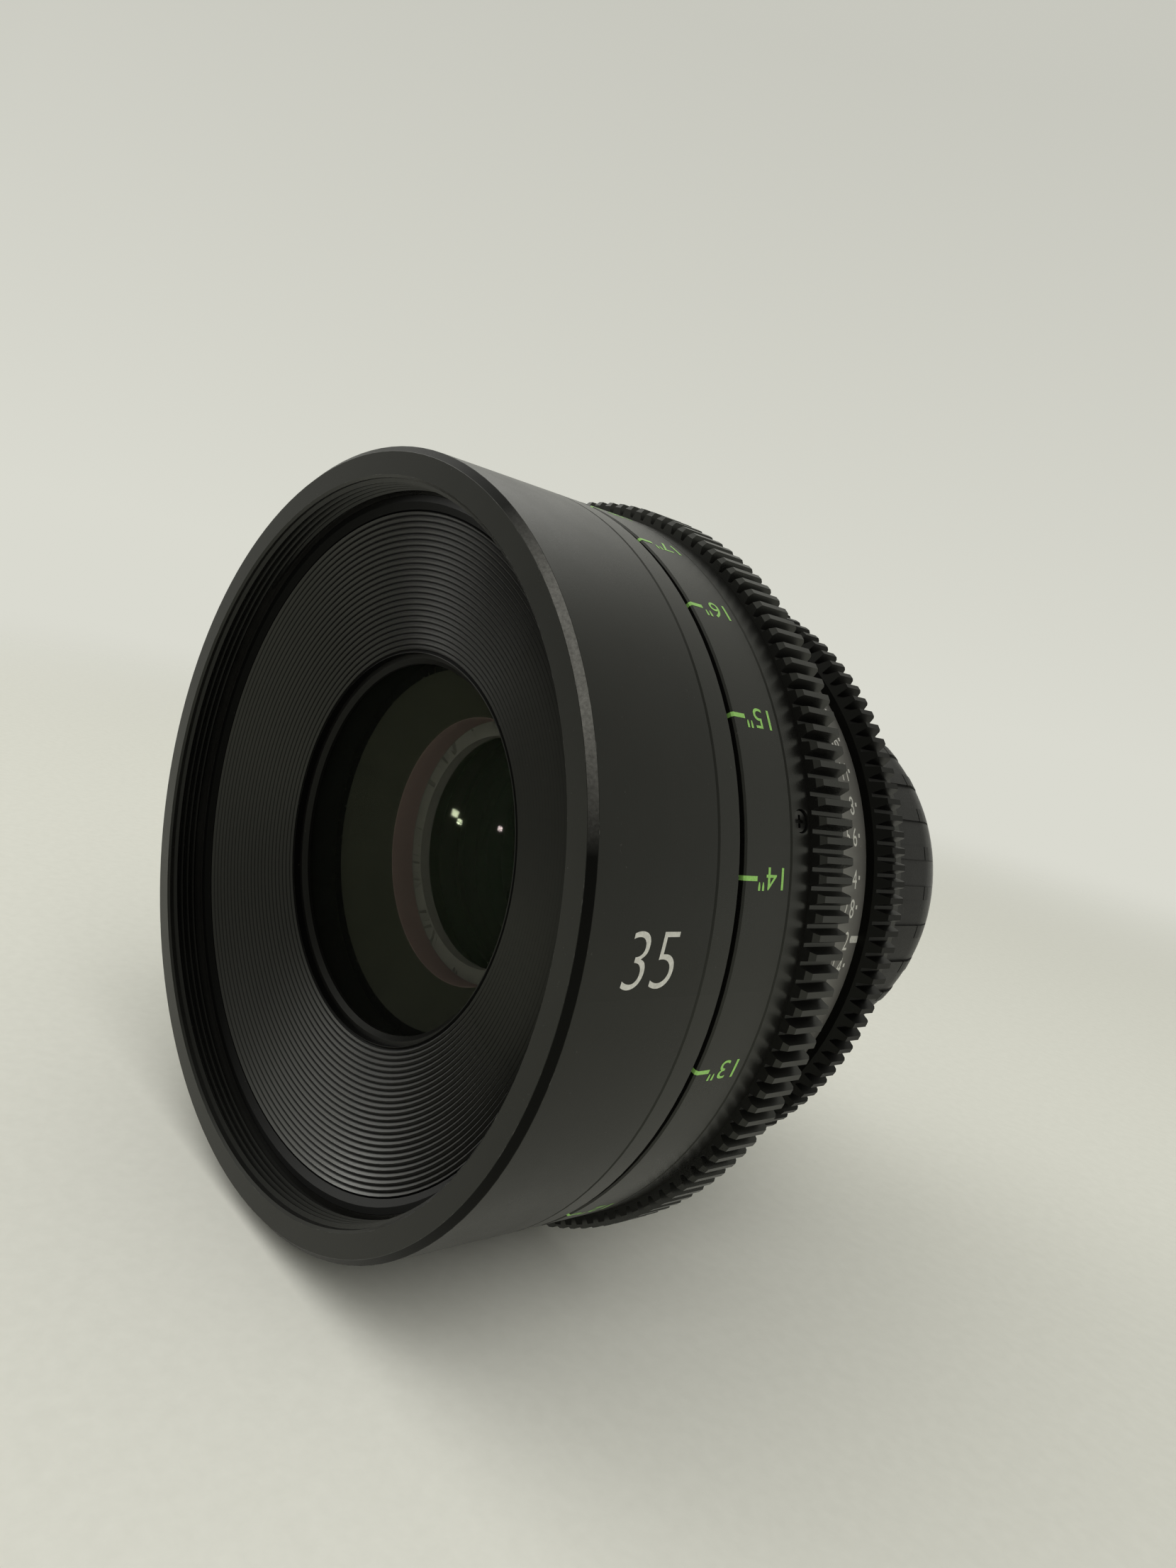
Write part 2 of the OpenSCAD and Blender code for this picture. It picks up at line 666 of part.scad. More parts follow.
module focus_scale_ring() color(black_metal) along_axis() difference() {
    revolve([
        [focus_bore_r, focus_gear_z + edge_break], [skirt_r, focus_gear_z + edge_break], [skirt_r, scale_z],
        [barrel_r - edge_break, scale_z], [barrel_r, scale_z + edge_break],
        [barrel_r, scale_front_z - edge_break], [barrel_r - edge_break, scale_front_z],
        [focus_bore_r, scale_front_z]
    ]);
    arc_cut(stop_angle - (focus_turn - focus_set) - stop_margin, stop_angle + focus_set + stop_margin,
        focus_bore_r - over, stop_groove_r, stop_z - stop_groove_w / 2, stop_z + stop_groove_w / 2);
    gear_screw_places(gear_screw_d, gear_screw_foot_r - slip_clear, barrel_r);
}

module gear_screw_places(d, r0, r1)
    for (i = [0 : gear_screws - 1])
        radial_cylinder(gear_screw_angle + i * 360 / gear_screws, gear_screw_z, d + 2 * slip_clear, r0, r1);

module focus_gear() {
    teeth_z = focus_gear_z + focus_face;
    chamfer = 0.7;
    bore_r = skirt_r + slip_clear;
    body_r = focus_root_r - 0.2;
    color(black_metal) along_axis() difference() {
        union() {
            revolve([
                [bore_r, focus_gear_z], [body_r, focus_gear_z], [body_r, teeth_z - edge_break],
                [focus_root_r, teeth_z - edge_break], [focus_root_r, teeth_z], [barrel_r, teeth_z],
                [barrel_r, scale_z - edge_break], [barrel_r - edge_break, scale_z], [bore_r, scale_z]
            ]);
            intersection() {
                translate([0, 0, focus_gear_z]) linear_extrude(focus_face)
                    gear_outline(focus_teeth, focus_root_r, focus_tip_r);
                revolve([
                    [bore_r, focus_gear_z], [focus_tip_r - 0.4, focus_gear_z],
                    [focus_tip_r + 0.1, focus_gear_z + 0.5], [focus_tip_r + 0.1, teeth_z - chamfer - 0.1],
                    [focus_tip_r - chamfer, teeth_z], [bore_r, teeth_z]
                ]);
            }
        }
        gear_screw_places(gear_screw_d, focus_bore_r, barrel_r);
        gear_screw_places(gear_screw_head_d + 0.3, barrel_r - gear_screw_sink, barrel_r + over);
    }
}

module focus_gear_screws() color(steel) along_axis()
    for (i = [0 : gear_screws - 1])
        rotate([0, 0, gear_screw_angle + i * 360 / gear_screws])
            translate([barrel_r - gear_screw_sink + gear_screw_head_t, 0, gear_screw_z])
                cross_screw(gear_screw_head_d, gear_screw_head_t, gear_screw_d,
                    barrel_r - gear_screw_sink + gear_screw_head_t - gear_screw_foot_r);

// Focus group

module guide_pin_holes(d, r0, r1)
    for (i = [0 : guide_pins - 1]) radial_cylinder(guide_angle + i * 360 / guide_pins, pin_z, d, r0, r1);

module focus_carrier() color(brass) along_axis() difference() {
    ring(carrier_r, carrier_bore_r, carrier_z, carrier_z + carrier_len);
    guide_pin_holes(guide_pin_d + 2 * slip_clear, carrier_bore_r - over, carrier_r + over);
}

module focus_guide_pins() color(steel) along_axis()
    guide_pin_holes(guide_pin_d, focus_cell_r - focus_cell_wall + 0.6, carrier_r - slip_clear);

module focus_cell() {
    ring_bore_r = focus_cell_r - focus_cell_wall;
    web_z = focus_cell_z + focus_web_t;
    bore_r = focus_glass_r + slip_clear;
    rear_bore_r = focus_rear_glass_r + slip_clear;
    tube_r = bore_r + focus_tube_wall;
    tube_back_z = focus_rear_glass_z - 0.8;
    lip_r = focus_rear_glass_r - seat_lip;
    rear_seat_z = focus_rear_glass_z + focus_rear_glass_t;
    color(dull_black) along_axis() difference() {
        revolve([
            [rear_bore_r, tube_back_z], [tube_r, tube_back_z], [tube_r, focus_cell_z],
            [focus_cell_r, focus_cell_z], [focus_cell_r, focus_cell_front_z],
            [ring_bore_r, focus_cell_front_z], [ring_bore_r, web_z], [tube_r, web_z],
            [tube_r, focus_tube_front_z], [bore_r, focus_tube_front_z], [bore_r, focus_glass_z],
            [lip_r, focus_glass_z], [lip_r, rear_seat_z], [rear_bore_r, rear_seat_z]
        ]);
        guide_pin_holes(guide_pin_d + 2 * slip_clear, ring_bore_r - over, focus_cell_r + over);
    }
}

module focus_front_element() along_axis() glass(focus_glass_r, focus_glass_z, focus_glass_t, focus_curve, 0);

module focus_rear_element() along_axis()
    glass(focus_rear_glass_r, focus_rear_glass_z, focus_rear_glass_t,
        focus_rear_front_curve, focus_rear_back_curve);

module focus_retaining_ring() color(dull_black) along_axis()
    ring(focus_glass_r, focus_glass_r - seat_lip, focus_ring_z, focus_ring_z + focus_ring_t);

// Iris ring

module iris_scale_ring() color(grey_metal) along_axis() difference() {
    front_face_z = iris_band_z + iris_band_len;
    revolve([
        [iris_bore_r, iris_gear_z + edge_break], [iris_skirt_r, iris_gear_z + edge_break],
        [iris_skirt_r, iris_band_z], [iris_r, iris_band_z], [iris_r, front_face_z - edge_break],
        [iris_r - edge_break, front_face_z], [iris_bore_r, front_face_z]
    ]);
    radial_cylinder(drive_angle, drive_z, drive_pin_d + 2 * slip_clear, iris_bore_r - over, iris_r + over);
    radial_cylinder(drive_angle, drive_z, drive_pin_head_d + 2 * slip_clear,
        iris_r - drive_pin_head_t - slip_clear, iris_r + over);
}

module iris_gear() {
    bore_r = iris_skirt_r + slip_clear;
    lip_r = iris_r + iris_lip;
    color(black_metal) along_axis() intersection() {
        translate([0, 0, iris_gear_z - over]) linear_extrude(iris_gear_len + 2 * over)
            gear_outline(iris_teeth, iris_root_r, iris_tip_r);
        revolve([
            [bore_r, iris_gear_z], [iris_tip_r - 0.4, iris_gear_z], [iris_tip_r + 0.1, iris_gear_z + 0.5],
            [iris_tip_r + 0.1, iris_band_z - iris_front_bevel], [lip_r, iris_band_z], [bore_r, iris_band_z]
        ]);
    }
}

module iris_drive_pin() color(steel) along_axis() {
    foot_r = drive_ring_r - drive_rim_w + 0.3;
    rotate([0, 0, drive_angle]) translate([iris_r - free_clear, 0, drive_z])
        cross_screw(drive_pin_head_d, drive_pin_head_t - free_clear, drive_pin_d,
            iris_r - free_clear - foot_r);
}

// Cam slot of one blade in the drive ring
module drive_slot() {
    shares = [for (i = [0 : slot_steps]) i / slot_steps];
    path = [for (s = shares) slot_point(s)];
    before = path[0] + slot_overrun * unit(path[0] - path[1]);
    after = path[slot_steps] + slot_overrun * unit(path[slot_steps] - path[slot_steps - 1]);
    line = concat([before], path, [after]);
    last = len(line) - 1;
    sides = [
        for (i = [0 : last])
            slot_half_w * left_of(unit(line[min(i + 1, last)] - line[max(i - 1, 0)]))
    ];
    polygon(concat(
        [for (i = [0 : last]) line[i] + sides[i]],
        [for (i = [last : -1 : 0]) line[i] - sides[i]]
    ));
}

module iris_drive_ring() color(dull_black) along_axis() difference() {
    mouth_r = iris_open_r + 0.4;
    rim_bore_r = drive_ring_r - drive_rim_w;
    plate_z = drive_ring_z + drive_plate_t;
    rim_z = drive_ring_z + drive_rim_t;
    revolve([
        [mouth_r, drive_ring_z], [drive_ring_r, drive_ring_z], [drive_ring_r, rim_z], [rim_bore_r, rim_z],
        [rim_bore_r, plate_z], [mouth_r, plate_z]
    ]);
    for (i = [0 : iris_blades - 1])
        rotate([0, 0, i * blade_pitch]) translate([0, 0, drive_ring_z - over])
            linear_extrude(drive_plate_t + 2 * over) drive_slot();
    radial_cylinder(drive_angle, drive_z, drive_pin_d + 2 * slip_clear, rim_bore_r - over,
        drive_ring_r + over);
}

// Iris housing and blades

module iris_housing() color(dull_black) along_axis() difference() {
    mouth_r = iris_open_r + 0.2;
    rim_bore_r = iris_housing_r - iris_rim_w;
    floor_z = iris_base_z + iris_base_t;
    revolve([
        [mouth_r, iris_base_z], [iris_housing_r, iris_base_z], [iris_housing_r, iris_cover_z],
        [rim_bore_r, iris_cover_z], [rim_bore_r, floor_z], [mouth_r, floor_z]
    ]);
    for (i = [0 : iris_blades - 1])
        rotate([0, 0, i * blade_pitch]) translate([pivot_r, 0, iris_base_z - over])
            cylinder(r = pivot_pin_r + run_clear, h = iris_base_t + 2 * over, $fn = 24);
    arc_cut(drive_angle - drive_margin, drive_angle + iris_turn + drive_margin, rim_bore_r - over,
        iris_housing_r + over, drive_z - drive_window_w / 2, drive_z + drive_window_w / 2);
}

module iris_cover_ring() color(dull_black) along_axis()
    ring(iris_housing_r, drive_ring_r - drive_rim_w - 0.5, iris_cover_z, iris_cover_z + iris_cover_t);

module bar(from, to, half_w) {
    side = half_w * left_of(unit(to - from));
    polygon([from + side, to + side, to - side, from - side]);
    translate(from) circle(r = half_w, $fn = 24);
    translate(to) circle(r = half_w, $fn = 24);
}

module blade_outline() {
    outer_r = iris_open_r + blade_w;
    far = 2 * outer_r;
    mid_r = iris_open_r + blade_w / 2;
    mid_angle = (blade_start + blade_end) / 2;
    difference() {
        intersection() {
            circle(r = outer_r);
            polygon([[0, 0], polar(far, blade_start), polar(far, mid_angle), polar(far, blade_end)]);
        }
        circle(r = iris_open_r);
    }
    translate(polar(mid_r, blade_end)) circle(r = blade_w / 2, $fn = 48);
    bar([pivot_r, 0], polar(neck_r, neck_angle), neck_half_w);
    bar([pivot_r, 0], tail_pin(0), tail_half_w);
}

module iris_blade(number) {
    z = blades_z + (number - 1) * blade_step;
    pivot_foot_z = iris_base_z + 0.4;
    tail_top_z = drive_ring_z + drive_plate_t - 0.1;
    tail = tail_pin(0);
    color(steel) along_axis() rotate([0, 0, (number - 1) * blade_pitch]) {
        translate([0, 0, z]) linear_extrude(blade_t) blade_outline();
        translate([pivot_r, 0, pivot_foot_z])
            cylinder(r = pivot_pin_r, h = z + blade_t - pivot_foot_z, $fn = 24);
        translate([tail[0], tail[1], z]) cylinder(r = tail_pin_r, h = tail_top_z - z, $fn = 24);
    }
}

// Rear cap

// Half outline of the domed end, drawn in by inset
module cap_dome(inset) {
    edge_r = cap_edge_r - inset;
    centre_r = cap_dome_r - cap_edge_r;
    translate([centre_r, -cap_edge_z]) circle(r = edge_r);
    translate([0, -cap_depth + inset]) square([centre_r, cap_depth - inset]);
    translate([0, -cap_edge_z]) square([centre_r + edge_r, cap_edge_z]);
}

module cap_profile() {
    sleeve_len = cap_depth - spigot_len + cap_sleeve_lap;
    difference() {
        union() {
            translate([0, -cap_grip]) square([cap_ring_r, cap_grip + cap_reach]);
            cap_dome(0);
        }
        translate([-over, -free_clear]) square([cap_skirt_bore_r + over, cap_reach + free_clear + over]);
        intersection() {
            cap_dome(cap_end_wall);
            translate([0, -cap_depth]) square([cap_cavity_r, cap_depth]);
        }
    }
    intersection() {
        cap_dome(cap_end_wall / 2);
        translate([spigot_r + run_clear, -cap_depth]) square([cap_sleeve_wall, sleeve_len]);
    }
}

module rear_cap() color(cap_black) along_axis() union() {
    rotate_extrude() cap_profile();
    for (i = [0 : cap_ribs - 1])
        rotate([0, 0, cap_rib_turn + i * 360 / cap_ribs])
            arc_cut(-cap_rib_angle / 2, cap_rib_angle / 2, cap_ring_r - 0.5, cap_r,
                -cap_grip + edge_break, cap_reach - edge_break);
    for (i = [0 : lugs - 1])
        arc_cut((i + 0.5) * 360 / lugs - cap_tab_angle / 2, (i + 0.5) * 360 / lugs + cap_tab_angle / 2,
            cap_shoulder_r + 0.3, cap_skirt_bore_r + 0.5, cap_reach - cap_tab_t, cap_reach);
}

front_barrel();
front_baffle();
front_retaining_ring();
front_element();
second_element();
third_element();
front_group_cell();
focus_index_ring();
main_barrel();
mid_barrel();
focus_stop_pin();
iris_housing();
iris_cover_ring();
rear_group_cell();
rear_group_front_element();
rear_group_middle_element();
rear_element();
rear_retaining_ring();
rear_barrel();
mount_shim();
lens_mount();
mount_screws();
focus_scale_ring();
focus_gear();
focus_gear_screws();
focus_carrier();
focus_guide_pins();
focus_cell();
focus_front_element();
focus_rear_element();
focus_retaining_ring();
iris_scale_ring();
iris_gear();
iris_drive_pin();
iris_drive_ring();
iris_blade(1);  // iris_blade_01
iris_blade(2);  // iris_blade_02
iris_blade(3);  // iris_blade_03
iris_blade(4);  // iris_blade_04
iris_blade(5);  // iris_blade_05
iris_blade(6);  // iris_blade_06
iris_blade(7);  // iris_blade_07
iris_blade(8);  // iris_blade_08
iris_blade(9);  // iris_blade_09
iris_blade(10);  // iris_blade_10
iris_blade(11);  // iris_blade_11
rear_cap();
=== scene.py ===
"""Cinema prime lens: finishes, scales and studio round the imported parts."""

import json
import math

import bmesh
import bpy
from mathutils import Matrix, Vector

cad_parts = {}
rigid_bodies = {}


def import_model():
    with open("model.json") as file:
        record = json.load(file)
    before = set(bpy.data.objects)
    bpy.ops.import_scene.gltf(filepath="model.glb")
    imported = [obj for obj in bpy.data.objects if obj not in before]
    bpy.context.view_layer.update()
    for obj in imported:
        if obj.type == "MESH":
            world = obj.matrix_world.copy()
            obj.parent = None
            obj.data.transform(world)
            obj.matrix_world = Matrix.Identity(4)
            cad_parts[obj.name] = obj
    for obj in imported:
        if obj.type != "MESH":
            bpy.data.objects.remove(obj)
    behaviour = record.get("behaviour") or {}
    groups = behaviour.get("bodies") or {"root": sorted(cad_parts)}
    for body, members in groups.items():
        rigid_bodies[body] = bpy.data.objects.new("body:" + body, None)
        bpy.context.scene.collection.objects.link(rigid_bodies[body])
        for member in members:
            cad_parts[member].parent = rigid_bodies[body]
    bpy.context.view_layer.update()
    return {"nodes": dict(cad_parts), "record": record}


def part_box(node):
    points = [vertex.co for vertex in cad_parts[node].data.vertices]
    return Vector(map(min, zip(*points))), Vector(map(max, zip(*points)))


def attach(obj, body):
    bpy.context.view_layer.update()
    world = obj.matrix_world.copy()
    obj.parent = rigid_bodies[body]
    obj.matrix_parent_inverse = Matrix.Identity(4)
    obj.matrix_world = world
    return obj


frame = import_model()
nodes = frame["nodes"]
scene = bpy.context.scene

# Sizes are in mm, and a place along the axis is s, in mm behind the front face
MM = 0.001
FRONT_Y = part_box("front_barrel")[0].y
BARREL_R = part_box("front_barrel")[1].x / MM
IRIS_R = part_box("iris_scale_ring")[1].x / MM
CAP_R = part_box("rear_cap")[1].x / MM
CAP_END_S = (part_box("rear_cap")[1].y - FRONT_Y) / MM
FLOOR_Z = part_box("focus_gear")[0].z - 0.2 * MM

THREAD_R = 52.5
NOSE_BEVEL = 0.95
# The bevel's painted shade and painted highlight begin this far inside its edges
BEVEL_MARGIN = 0.04
# Lead-in at the mouth of the front thread
THREAD_LEAD = 0.35
# Ribs of the light trap: radius of the outermost one and pitch, and the place where its mouth, painted black
# as painted shade, begins
RIB_OUTER_R = 49.27
RIB_PITCH = 0.8238
MOUTH_S = 12.0
# Inside of the front cell: end of its seat, and start of the wall and of the step round the second element.
# Up to the seat's end the cell is painted black as painted shade; wall and step carry painted reflections
CELL_SEAT_S = 20.3
CELL_WALL_S = 26.35
CELL_STEP_S = 30.5
# Where the ribs of the rear cap give way to its dome, which is painted paler as a painted reflection
DOME_S = 110.6
# Paint stands this far proud of the metal
PAINT_PROUD = 0.02


def behind_front(s):
    """Place along the axis, in metres, of a point s mm behind the front face."""
    return FRONT_Y + s * MM


def around_axis(r, s, angle):
    """Point at radius r and place s, both in mm, at an angle in radians round the lens axis."""
    return (r * math.cos(angle) * MM, behind_front(s), r * math.sin(angle) * MM)


def new_piece(name, verts, faces, material, body):
    """Adds a piece that rides on a body, and returns its mesh."""
    mesh = bpy.data.meshes.new(name)
    mesh.from_pydata(verts, [], faces)
    mesh.materials.append(material)
    obj = bpy.data.objects.new(name, mesh)
    scene.collection.objects.link(obj)
    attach(obj, body)
    return mesh


class NodeMaker:
    """Short calls that add shader nodes to a tree."""

    def __init__(self, tree):
        self.tree = tree

    def feed(self, socket, value):
        if isinstance(value, bpy.types.NodeSocket):
            self.tree.links.new(value, socket)
        else:
            socket.default_value = value

    def add(self, kind, inputs, **settings):
        node = self.tree.nodes.new("ShaderNode" + kind)
        for name, value in settings.items():
            setattr(node, name, value)
        for key, value in inputs.items():
            self.feed(node.inputs[key], value)
        return node

    def math(self, operation, a, b=0.0):
        return self.add("Math", {0: a, 1: b}, operation=operation).outputs[0]

    def length(self, a, b):
        squares = [self.math("MULTIPLY", side, side) for side in (a, b)]
        return self.math("SQRT", self.math("ADD", *squares))

    def spread(self, value, low, high, start=0.32, end=0.68, **settings):
        """Maps start to end onto low to high. Most of a noise lies between the default start and end."""
        inputs = {0: value, 1: start, 2: end, 3: low, 4: high}
        return self.add("MapRange", inputs, clamp=True, **settings).outputs[0]

    def mix(self, factor, a, b):
        return self.add("Mix", {0: factor, 6: a, 7: b}, data_type="RGBA").outputs[2]


class Finish(NodeMaker):
    """A material with one Principled shader."""

    def __init__(self, name, sockets):
        self.material = bpy.data.materials.new(name)
        self.material.use_nodes = True
        super().__init__(self.material.node_tree)
        self.shader = self.tree.nodes["Principled BSDF"]
        self.set(sockets)
        self.normal = None

    def set(self, sockets):
        for name, value in sockets.items():
            self.feed(self.shader.inputs[name], value)

    def place(self):
        """Place on the object, in mm."""
        coordinates = self.add("TexCoord", {}).outputs["Object"]
        return self.add("VectorMath", {0: coordinates, "Scale": 1 / MM}, operation="SCALE").outputs[0]

    def around(self):
        """Distance from the lens axis, arc length round it and place behind the front face, in mm."""
        xyz = self.add("SeparateXYZ", {0: self.place()}).outputs
        radius = self.length(xyz[0], xyz[2])
        arc = self.math("MULTIPLY", self.math("ARCTAN2", xyz[2], xyz[0]), radius)
        return radius, arc, self.math("SUBTRACT", xyz[1], FRONT_Y / MM)

    def noise(self, vector, scale, detail=3.0, roughness=0.6):
        inputs = {"Vector": vector, "Scale": scale, "Detail": detail, "Roughness": roughness}
        return self.add("TexNoise", inputs).outputs[0]

    def turning_lines(self, fineness, drift, detail):
        """Lines left by a lathe: fine along the axis and the radius, long round the axis."""
        radius, arc, s = self.around()
        stretched = [self.math("MULTIPLY", value, scale)
                     for value, scale in ((radius, fineness), (arc, drift), (s, fineness))]
        vector = self.add("CombineXYZ", dict(enumerate(stretched))).outputs[0]
        return self.noise(vector, scale=1.0, detail=detail)

    def bump(self, height, depth):
        """Adds relief of the given depth in mm."""
        inputs = {"Height": height, "Distance": depth * MM}
        if self.normal:
            inputs["Normal"] = self.normal
        self.normal = self.add("Bump", inputs).outputs[0]
        self.set({"Normal": self.normal})


def grey(value, warm=0.0):
    """Grey, with more red and less blue the warmer it is."""
    return (value * (1 + warm), value, value * (1 - 1.5 * warm), 1.0)


def darker(colour, share):
    """The given share of a colour, opaque."""
    return tuple(share * c for c in colour[:3]) + (1.0,)


# Tint of the sheen on black anodising
OLIVE = (0.97, 1.0, 0.9, 1.0)


def dusted(finish, colour, speck):
    """Strews small pale specks over a colour."""
    dust = finish.noise(finish.place(), scale=1.9, detail=2.0, roughness=0.5)
    return finish.mix(finish.spread(dust, 0.0, 0.5, start=0.73, end=0.8), colour, speck)


def worn_along(finish, edges):
    """Mask of ragged wear along round edges, each given by its radius and s."""
    radius, _, s = finish.around()
    nearest = None
    for edge_r, edge_s in edges:
        away = finish.length(finish.math("SUBTRACT", radius, edge_r), finish.math("SUBTRACT", s, edge_s))
        nearest = away if nearest is None else finish.math("MINIMUM", nearest, away)
    ragged = finish.noise(finish.place(), scale=0.5, detail=4.0, roughness=0.65)
    reach = finish.spread(ragged, -0.05, 0.09, start=0.4, end=0.8)
    return finish.math("MULTIPLY", finish.math("LESS_THAN", nearest, reach), 0.5)


def bevel_painted_light(finish, highlight_angle=40.0, half_highlight=8.0, half_fade=24.0):
    """Painted shade and a painted highlight: deep black, with patchy grey along a stretch round the given
    angle. The angles are in degrees.
    """
    radius, arc, _ = finish.around()
    angle = finish.math("DEGREES", finish.math("DIVIDE", arc, radius))
    from_middle = finish.math("ABSOLUTE", finish.math("SUBTRACT", angle, highlight_angle))
    stretch = finish.spread(from_middle, 1.0, 0.0, start=half_highlight, end=half_fade)
    patches = finish.noise(finish.place(), scale=2.2, detail=4.0, roughness=0.7)
    painted_highlight = finish.math("MULTIPLY", stretch, finish.spread(patches, 0.55, 1.0))
    return finish.mix(painted_highlight, grey(0.003), grey(0.26, 0.02))


def anodised(name, dark, light, rough, turned=0.004, grain=0.004, gloss=0.5, worn_edges=(), bevel=None):
    """Dyed aluminium: blotchy sheen, specks of dust, fine grain and turning lines.

    turned and grain are depths in mm. bevel is the radius and s that bound a bevel painted with shade and a
    highlight.
    """
    finish = Finish(name, {"IOR": 1.55, "Specular IOR Level": gloss, "Specular Tint": OLIVE})
    place = finish.place()
    blotch = finish.noise(place, scale=0.055, detail=5.0)
    fine = finish.noise(place, scale=5.5)
    colour = finish.mix(finish.spread(blotch, 0.0, 1.0), grey(dark, 0.03), grey(light, 0.03))
    colour = dusted(finish, colour, grey(light * 6, 0.04))
    if worn_edges:
        colour = finish.mix(worn_along(finish, worn_edges), colour, grey(0.12, 0.02))
    if bevel:
        radius, _, s = finish.around()
        on_bevel = finish.math("MULTIPLY", finish.math("GREATER_THAN", radius, bevel[0]),
                               finish.math("LESS_THAN", s, bevel[1]))
        # The bevel is painted deep black as painted shade, with a painted highlight
        colour = finish.mix(on_bevel, colour, bevel_painted_light(finish))
        finish.set({"Specular IOR Level": finish.spread(on_bevel, gloss, 0.06, start=0.0, end=1.0)})
    roughness = finish.math("ADD", finish.spread(blotch, rough - 0.04, rough + 0.05),
                            finish.spread(fine, -0.03, 0.03))
    finish.set({"Base Color": colour, "Roughness": roughness})
    if turned:
        finish.bump(finish.turning_lines(fineness=9.0, drift=0.05, detail=2.0), turned)
    if grain:
        finish.bump(fine, grain)
    return finish.material


def metal(name, dark, light, rough, line_depth):
    """Turned or ground bare metal."""
    finish = Finish(name, {"Metallic": 1.0})
    lines = finish.turning_lines(fineness=7.0, drift=0.08, detail=3.0)
    blotch = finish.noise(finish.place(), scale=0.12, detail=4.0)
    finish.set({"Base Color": finish.mix(finish.spread(blotch, 0.0, 1.0), dark, light),
                "Roughness": finish.math("ADD", finish.spread(lines, rough - 0.06, rough + 0.06),
                                         finish.spread(blotch, -0.04, 0.04))})
    finish.bump(lines, line_depth)
    return finish.material


def plastic(name, dark, light, dome_s, dome_painted_reflection):
    """Moulded cap: spark-eroded grain with slightly polished handling marks, and a glossier dome painted
    paler as a painted reflection.
    """
    finish = Finish(name, {"IOR": 1.5, "Specular IOR Level": 0.22})
    place = finish.place()
    _, _, s = finish.around()
    grain = finish.noise(place, scale=3.6)
    blotch = finish.noise(place, scale=0.09, detail=4.0)
    rough = finish.math("ADD", finish.spread(blotch, 0.38, 0.5), finish.spread(grain, -0.05, 0.05))
    on_dome = finish.math("GREATER_THAN", s, dome_s)
    colour = finish.mix(finish.spread(blotch, 0.0, 1.0), grey(dark, 0.02), grey(light, 0.02))
    # The dome is painted paler: a painted reflection
    finish.set({"Base Color": finish.mix(on_dome, colour, grey(dome_painted_reflection, 0.02)),
                "Roughness": finish.math("SUBTRACT", rough, finish.math("MULTIPLY", on_dome, 0.1))})
    finish.bump(grain, 0.025)
    return finish.material


def ribbed_black(name, outer_r, pitch, mouth_s):
    """Light trap: dull black lands between thin grooves, painted darker as painted shade and duller, with its
    mouth and outer rim painted black as painted shade.
    """
    finish = Finish(name, {"IOR": 1.55, "Specular Tint": OLIVE})
    place = finish.place()
    radius, _, s = finish.around()
    turns = finish.math("DIVIDE", finish.math("SUBTRACT", outer_r, radius), pitch)
    from_crest = finish.math("PINGPONG", turns, 0.5)
    shaded_mouth_and_rim = finish.math("MAXIMUM", finish.math("GREATER_THAN", s, mouth_s),
                              finish.math("GREATER_THAN", radius, outer_r + 0.1))
    shaded_groove = finish.math("MAXIMUM", finish.spread(from_crest, 0.0, 1.0, start=0.28, end=0.46), shaded_mouth_and_rim)
    blotch = finish.noise(place, scale=0.055, detail=5.0)
    crest = finish.mix(finish.spread(blotch, 0.0, 1.0), grey(0.011, 0.03), grey(0.016, 0.03))
    # Painted shade: darker grooves, and a black mouth and outer rim
    colour = dusted(finish, finish.mix(shaded_groove, crest, grey(0.003)), grey(0.06, 0.04))
    finish.set({"Base Color": colour,
                "Roughness": finish.spread(shaded_groove, 0.36, 0.6, start=0.0, end=1.0),
                "Specular IOR Level": finish.spread(shaded_groove, 0.3, 0.05, start=0.0, end=1.0)})
    finish.bump(finish.noise(place, scale=5.5), 0.004)
    return finish.material


def coated_glass(name, tint, film):
    """Clear element under a thin coating, whose tint shows in its glints, and as a faint film whose colour is
    a painted sheen.
    """
    finish = Finish(name, {"IOR": 1.6, "Specular Tint": tint, "Alpha": film, "Roughness": 0.04})
    blotch = finish.noise(finish.place(), scale=0.05, detail=2.0, roughness=0.5)
    # Painted sheen: a faint tinted haze in place of the coating's reflection
    colour = finish.mix(finish.spread(blotch, 0.0, 1.0), darker(tint, 0.45), darker(tint, 0.6))
    finish.set({"Base Color": colour})
    return finish.material


def lens_cell(name, seat_s, wall_s, step_s):
    """Blackened tube, painted deeper black up to the end of its seat as painted shade; its wall and step
    round the second element carry painted reflections in the tints of the coatings.
    """
    finish = Finish(name, {"IOR": 1.5, "Specular IOR Level": 0.1, "Roughness": 0.7})
    _, _, s = finish.around()
    uneven = finish.noise(finish.place(), scale=0.15)
    colour = finish.mix(finish.spread(uneven, 0.0, 1.0),
                        (0.012, 0.0135, 0.008, 1.0), (0.015, 0.0165, 0.01, 1.0))
    # Painted shade up to the seat's end, then painted reflections on the wall and the step
    colour = finish.mix(finish.math("GREATER_THAN", s, seat_s), grey(0.001), colour)
    colour = finish.mix(finish.math("GREATER_THAN", s, wall_s), colour, (0.12, 0.088, 0.078, 1.0))
    colour = finish.mix(finish.math("GREATER_THAN", s, step_s), colour, (0.1, 0.1, 0.085, 1.0))
    finish.set({"Base Color": colour})
    return finish.material


def paint(name, colour, rough):
    """Filled lettering with a slightly uneven surface."""
    finish = Finish(name, {"IOR": 1.5})
    uneven = finish.noise(finish.place(), scale=2.5)
    finish.set({"Base Color": finish.mix(finish.spread(uneven, 0.0, 1.0), darker(colour, 0.78), colour),
                "Roughness": finish.spread(uneven, rough - 0.08, rough + 0.08)})
    finish.bump(uneven, 0.01)
    return finish.material


